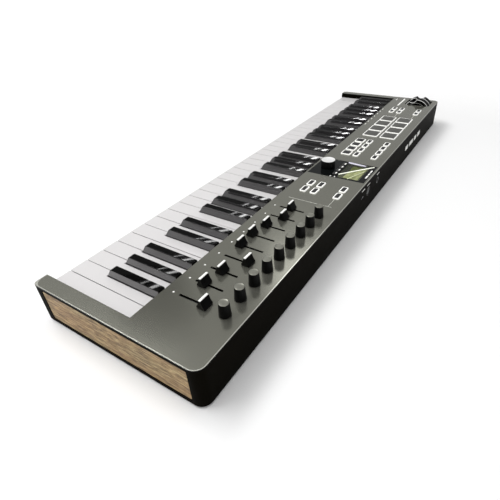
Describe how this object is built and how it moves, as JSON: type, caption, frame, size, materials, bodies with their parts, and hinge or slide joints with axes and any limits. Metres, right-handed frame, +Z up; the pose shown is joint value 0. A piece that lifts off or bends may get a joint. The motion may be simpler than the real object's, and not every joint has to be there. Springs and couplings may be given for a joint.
{
  "type": "midi keyboard",
  "caption": "Desktop MIDI controller keyboard: full-size piano-style keys under a flat control panel with faders, knobs, pads, buttons, a display and two wheels, between wooden end panels.",
  "frame": {"origin": "on the table, under the middle of the instrument", "axes": "+X along the keys towards the treble end, +Y from the player to the rear, +Z up"},
  "size_m": [0.884, 0.235, 0.07],
  "materials": {
    "case_black": "satin black moulding",
    "panel_grey": "satin olive-grey paint",
    "wood": "oiled light-brown wood with fine grain",
    "frame_grey": "moulded key frame",
    "steel": "ground steel rod",
    "felt": "wool felt",
    "circuit_board": "solder-masked board",
    "gloss_black": "polished black inset",
    "screen": "display, off",
    "film": "clear protective film",
    "socket_steel": "stamped steel shell",
    "socket_black": "black socket insulator",
    "rubber": "black rubber",
    "screw_steel": "blackened steel",
    "key_white": "glossy white key",
    "key_black": "satin black key",
    "encoder_metal": "turned bright top on a black skirt",
    "wheel_black": "soft-touch black wheel",
    "cap_black": "satin black cap",
    "pad_silicone": "translucent silicone with a dark printed face",
    "button_silicone": "translucent white silicone with a black printed face"
  },
  "bodies": {
    "root": {"bottom_case": "case_black", "top_panel": "panel_grey", "wood_cheek_left": "wood", "wood_cheek_right": "wood", "keybed_frame": "frame_grey", "key_pivot_rod": "steel", "key_felt": "felt", "contact_board": "circuit_board", "control_board": "circuit_board", "display_bezel": "gloss_black", "display_screen": "screen", "display_film": "film", "usb_socket": "socket_steel", "midi_socket": "socket_black", "pedal_socket": "socket_black", "rubber_feet": "rubber", "case_screws": "screw_steel", "wheel_housing": "case_black"},
    "key_c5": {"key_c5": "key_white"},
    "key_c_sharp5": {"key_c_sharp5": "key_black"},
    "key_d5": {"key_d5": "key_white"},
    "key_d_sharp5": {"key_d_sharp5": "key_black"},
    "key_e5": {"key_e5": "key_white"},
    "key_f5": {"key_f5": "key_white"},
    "key_f_sharp5": {"key_f_sharp5": "key_black"},
    "key_g5": {"key_g5": "key_white"},
    "key_g_sharp5": {"key_g_sharp5": "key_black"},
    "key_a5": {"key_a5": "key_white"},
    "key_a_sharp5": {"key_a_sharp5": "key_black"},
    "key_b5": {"key_b5": "key_white"},
    "key_c6": {"key_c6": "key_white"},
    "white_keys_low": {"white_keys_low": "key_white"},
    "black_keys_low": {"black_keys_low": "key_black"},
    "fader_1": {"fader_1": "cap_black"},
    "fader_2": {"fader_2": "cap_black"},
    "fader_3": {"fader_3": "cap_black"},
    "fader_4": {"fader_4": "cap_black"},
    "fader_5": {"fader_5": "cap_black"},
    "fader_6": {"fader_6": "cap_black"},
    "fader_7": {"fader_7": "cap_black"},
    "fader_8": {"fader_8": "cap_black"},
    "fader_9": {"fader_9": "cap_black"},
    "knob_1": {"knob_1": "cap_black"},
    "knob_2": {"knob_2": "cap_black"},
    "knob_3": {"knob_3": "cap_black"},
    "knob_4": {"knob_4": "cap_black"},
    "knob_5": {"knob_5": "cap_black"},
    "knob_6": {"knob_6": "cap_black"},
    "knob_7": {"knob_7": "cap_black"},
    "knob_8": {"knob_8": "cap_black"},
    "knob_9": {"knob_9": "cap_black"},
    "encoder_knob": {"encoder_knob": "encoder_metal"},
    "pitch_wheel": {"pitch_wheel": "wheel_black"},
    "mod_wheel": {"mod_wheel": "wheel_black"},
    "drum_pads": {"drum_pads": "pad_silicone"},
    "left_buttons": {"left_buttons": "button_silicone"},
    "daw_buttons": {"daw_buttons": "button_silicone"},
    "transport_buttons": {"transport_buttons": "button_silicone"},
    "screen_buttons": {"screen_buttons": "button_silicone"},
    "right_buttons": {"right_buttons": "button_silicone"}
  },
  "joints": [
    {"name": "key_c5_press", "type": "hinge", "parent": "root", "child": "key_c5", "pos_m": [0, 0.027, 0.031], "axis": [1, 0, 0], "range_deg": [0, 4], "stiffness_Nm_per_rad": 0.5, "springref_deg": -8.02},
    {"name": "key_c_sharp5_press", "type": "hinge", "parent": "root", "child": "key_c_sharp5", "pos_m": [0, 0.027, 0.031], "axis": [1, 0, 0], "range_deg": [0, 4], "stiffness_Nm_per_rad": 0.5, "springref_deg": -8.02},
    {"name": "key_d5_press", "type": "hinge", "parent": "root", "child": "key_d5", "pos_m": [0, 0.027, 0.031], "axis": [1, 0, 0], "range_deg": [0, 4], "stiffness_Nm_per_rad": 0.5, "springref_deg": -8.02},
    {"name": "key_d_sharp5_press", "type": "hinge", "parent": "root", "child": "key_d_sharp5", "pos_m": [0, 0.027, 0.031], "axis": [1, 0, 0], "range_deg": [0, 4], "stiffness_Nm_per_rad": 0.5, "springref_deg": -8.02},
    {"name": "key_e5_press", "type": "hinge", "parent": "root", "child": "key_e5", "pos_m": [0, 0.027, 0.031], "axis": [1, 0, 0], "range_deg": [0, 4], "stiffness_Nm_per_rad": 0.5, "springref_deg": -8.02},
    {"name": "key_f5_press", "type": "hinge", "parent": "root", "child": "key_f5", "pos_m": [0, 0.027, 0.031], "axis": [1, 0, 0], "range_deg": [0, 4], "stiffness_Nm_per_rad": 0.5, "springref_deg": -8.02},
    {"name": "key_f_sharp5_press", "type": "hinge", "parent": "root", "child": "key_f_sharp5", "pos_m": [0, 0.027, 0.031], "axis": [1, 0, 0], "range_deg": [0, 4], "stiffness_Nm_per_rad": 0.5, "springref_deg": -8.02},
    {"name": "key_g5_press", "type": "hinge", "parent": "root", "child": "key_g5", "pos_m": [0, 0.027, 0.031], "axis": [1, 0, 0], "range_deg": [0, 4], "stiffness_Nm_per_rad": 0.5, "springref_deg": -8.02},
    {"name": "key_g_sharp5_press", "type": "hinge", "parent": "root", "child": "key_g_sharp5", "pos_m": [0, 0.027, 0.031], "axis": [1, 0, 0], "range_deg": [0, 4], "stiffness_Nm_per_rad": 0.5, "springref_deg": -8.02},
    {"name": "key_a5_press", "type": "hinge", "parent": "root", "child": "key_a5", "pos_m": [0, 0.027, 0.031], "axis": [1, 0, 0], "range_deg": [0, 4], "stiffness_Nm_per_rad": 0.5, "springref_deg": -8.02},
    {"name": "key_a_sharp5_press", "type": "hinge", "parent": "root", "child": "key_a_sharp5", "pos_m": [0, 0.027, 0.031], "axis": [1, 0, 0], "range_deg": [0, 4], "stiffness_Nm_per_rad": 0.5, "springref_deg": -8.02},
    {"name": "key_b5_press", "type": "hinge", "parent": "root", "child": "key_b5", "pos_m": [0, 0.027, 0.031], "axis": [1, 0, 0], "range_deg": [0, 4], "stiffness_Nm_per_rad": 0.5, "springref_deg": -8.02},
    {"name": "key_c6_press", "type": "hinge", "parent": "root", "child": "key_c6", "pos_m": [0, 0.027, 0.031], "axis": [1, 0, 0], "range_deg": [0, 4], "stiffness_Nm_per_rad": 0.5, "springref_deg": -8.02},
    {"name": "white_keys_low_press", "type": "hinge", "parent": "root", "child": "white_keys_low", "pos_m": [0, 0.027, 0.031], "axis": [1, 0, 0], "range_deg": [0, 4], "stiffness_Nm_per_rad": 14, "springref_deg": -8.02},
    {"name": "black_keys_low_press", "type": "hinge", "parent": "root", "child": "black_keys_low", "pos_m": [0, 0.027, 0.031], "axis": [1, 0, 0], "range_deg": [0, 4], "stiffness_Nm_per_rad": 10, "springref_deg": -8.02},
    {"name": "fader_1_slide", "type": "slide", "parent": "root", "child": "fader_1", "axis": [0, 1, 0], "range_m": [-0.0299, 0.0001]},
    {"name": "fader_2_slide", "type": "slide", "parent": "root", "child": "fader_2", "axis": [0, 1, 0], "range_m": [-0.0088, 0.0212]},
    {"name": "fader_3_slide", "type": "slide", "parent": "root", "child": "fader_3", "axis": [0, 1, 0], "range_m": [-0.0129, 0.0171]},
    {"name": "fader_4_slide", "type": "slide", "parent": "root", "child": "fader_4", "axis": [0, 1, 0], "range_m": [-0.0299, 0.0001]},
    {"name": "fader_5_slide", "type": "slide", "parent": "root", "child": "fader_5", "axis": [0, 1, 0], "range_m": [-0.0024, 0.0276]},
    {"name": "fader_6_slide", "type": "slide", "parent": "root", "child": "fader_6", "axis": [0, 1, 0], "range_m": [-0.0014, 0.0286]},
    {"name": "fader_7_slide", "type": "slide", "parent": "root", "child": "fader_7", "axis": [0, 1, 0], "range_m": [-0.0062, 0.0238]},
    {"name": "fader_8_slide", "type": "slide", "parent": "root", "child": "fader_8", "axis": [0, 1, 0], "range_m": [-0.0167, 0.0133]},
    {"name": "fader_9_slide", "type": "slide", "parent": "root", "child": "fader_9", "axis": [0, 1, 0], "range_m": [-0.0138, 0.0162]},
    {"name": "knob_1_turn", "type": "hinge", "parent": "root", "child": "knob_1", "pos_m": [0.3748, 0.0959, 0.06], "axis": [0, 0, 1], "range_deg": [-150, 150]},
    {"name": "knob_2_turn", "type": "hinge", "parent": "root", "child": "knob_2", "pos_m": [0.3489, 0.0959, 0.06], "axis": [0, 0, 1], "range_deg": [-150, 150]},
    {"name": "knob_3_turn", "type": "hinge", "parent": "root", "child": "knob_3", "pos_m": [0.323, 0.0959, 0.06], "axis": [0, 0, 1], "range_deg": [-150, 150]},
    {"name": "knob_4_turn", "type": "hinge", "parent": "root", "child": "knob_4", "pos_m": [0.2971, 0.0959, 0.06], "axis": [0, 0, 1], "range_deg": [-150, 150]},
    {"name": "knob_5_turn", "type": "hinge", "parent": "root", "child": "knob_5", "pos_m": [0.2712, 0.0959, 0.06], "axis": [0, 0, 1], "range_deg": [-150, 150]},
    {"name": "knob_6_turn", "type": "hinge", "parent": "root", "child": "knob_6", "pos_m": [0.2453, 0.0959, 0.06], "axis": [0, 0, 1], "range_deg": [-150, 150]},
    {"name": "knob_7_turn", "type": "hinge", "parent": "root", "child": "knob_7", "pos_m": [0.2194, 0.0959, 0.06], "axis": [0, 0, 1], "range_deg": [-150, 150]},
    {"name": "knob_8_turn", "type": "hinge", "parent": "root", "child": "knob_8", "pos_m": [0.1935, 0.0959, 0.06], "axis": [0, 0, 1], "range_deg": [-150, 150]},
    {"name": "knob_9_turn", "type": "hinge", "parent": "root", "child": "knob_9", "pos_m": [0.1676, 0.0959, 0.06], "axis": [0, 0, 1], "range_deg": [-150, 150]},
    {"name": "encoder_turn", "type": "hinge", "parent": "root", "child": "encoder_knob", "pos_m": [0.016, 0.041, 0.06], "axis": [0, 0, 1], "continuous": true},
    {"name": "pitch_wheel_turn", "type": "hinge", "parent": "root", "child": "pitch_wheel", "pos_m": [-0.4185, 0.08, 0.036], "axis": [-1, 0, 0], "range_deg": [-30, 30], "stiffness_Nm_per_rad": 0.12},
    {"name": "mod_wheel_turn", "type": "hinge", "parent": "root", "child": "mod_wheel", "pos_m": [-0.3975, 0.08, 0.036], "axis": [-1, 0, 0], "range_deg": [0, 50]},
    {"name": "drum_pads_press", "type": "slide", "parent": "root", "child": "drum_pads", "axis": [0, 0, -1], "range_m": [0, 0.0008], "stiffness_N_per_m": 9000, "springref_m": -0.0005},
    {"name": "left_buttons_press", "type": "slide", "parent": "root", "child": "left_buttons", "axis": [0, 0, -1], "range_m": [0, 0.001], "stiffness_N_per_m": 7000, "springref_m": -0.001},
    {"name": "daw_buttons_press", "type": "slide", "parent": "root", "child": "daw_buttons", "axis": [0, 0, -1], "range_m": [0, 0.001], "stiffness_N_per_m": 9000, "springref_m": -0.001},
    {"name": "transport_buttons_press", "type": "slide", "parent": "root", "child": "transport_buttons", "axis": [0, 0, -1], "range_m": [0, 0.001], "stiffness_N_per_m": 5000, "springref_m": -0.001},
    {"name": "screen_buttons_press", "type": "slide", "parent": "root", "child": "screen_buttons", "axis": [0, 0, -1], "range_m": [0, 0.001], "stiffness_N_per_m": 4000, "springref_m": -0.001},
    {"name": "right_buttons_press", "type": "slide", "parent": "root", "child": "right_buttons", "axis": [0, 0, -1], "range_m": [0, 0.001], "stiffness_N_per_m": 7000, "springref_m": -0.001}
  ]
}
